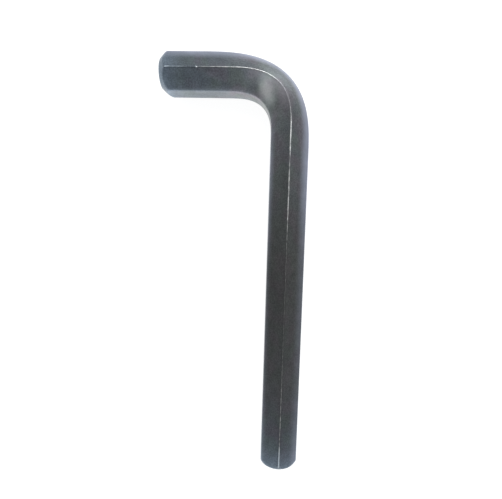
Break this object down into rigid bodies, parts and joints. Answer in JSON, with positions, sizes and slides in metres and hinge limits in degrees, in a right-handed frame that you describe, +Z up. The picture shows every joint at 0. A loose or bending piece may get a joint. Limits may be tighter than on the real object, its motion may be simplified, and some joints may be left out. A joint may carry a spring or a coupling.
{
  "type": "hex key",
  "caption": "L-shaped hex key: a black-finished hexagonal steel bar with bevelled tips, bent to a long and a short arm, lying flat.",
  "frame": {"origin": "on the surface that the key lies on, under the middle of the key's box", "axes": "+Z up from that surface, +Y along the long arm from its tip to the bend, +X from the short arm's tip to the bend"},
  "size_m": [0.0396, 0.112, 0.0114],
  "materials": {
    "blackened_steel": "black oxide over drawn tool steel, satin, with a rubbed bright line along the upper ridge"
  },
  "bodies": {
    "root": {"hex_key": "blackened_steel"}
  },
  "joints": []
}
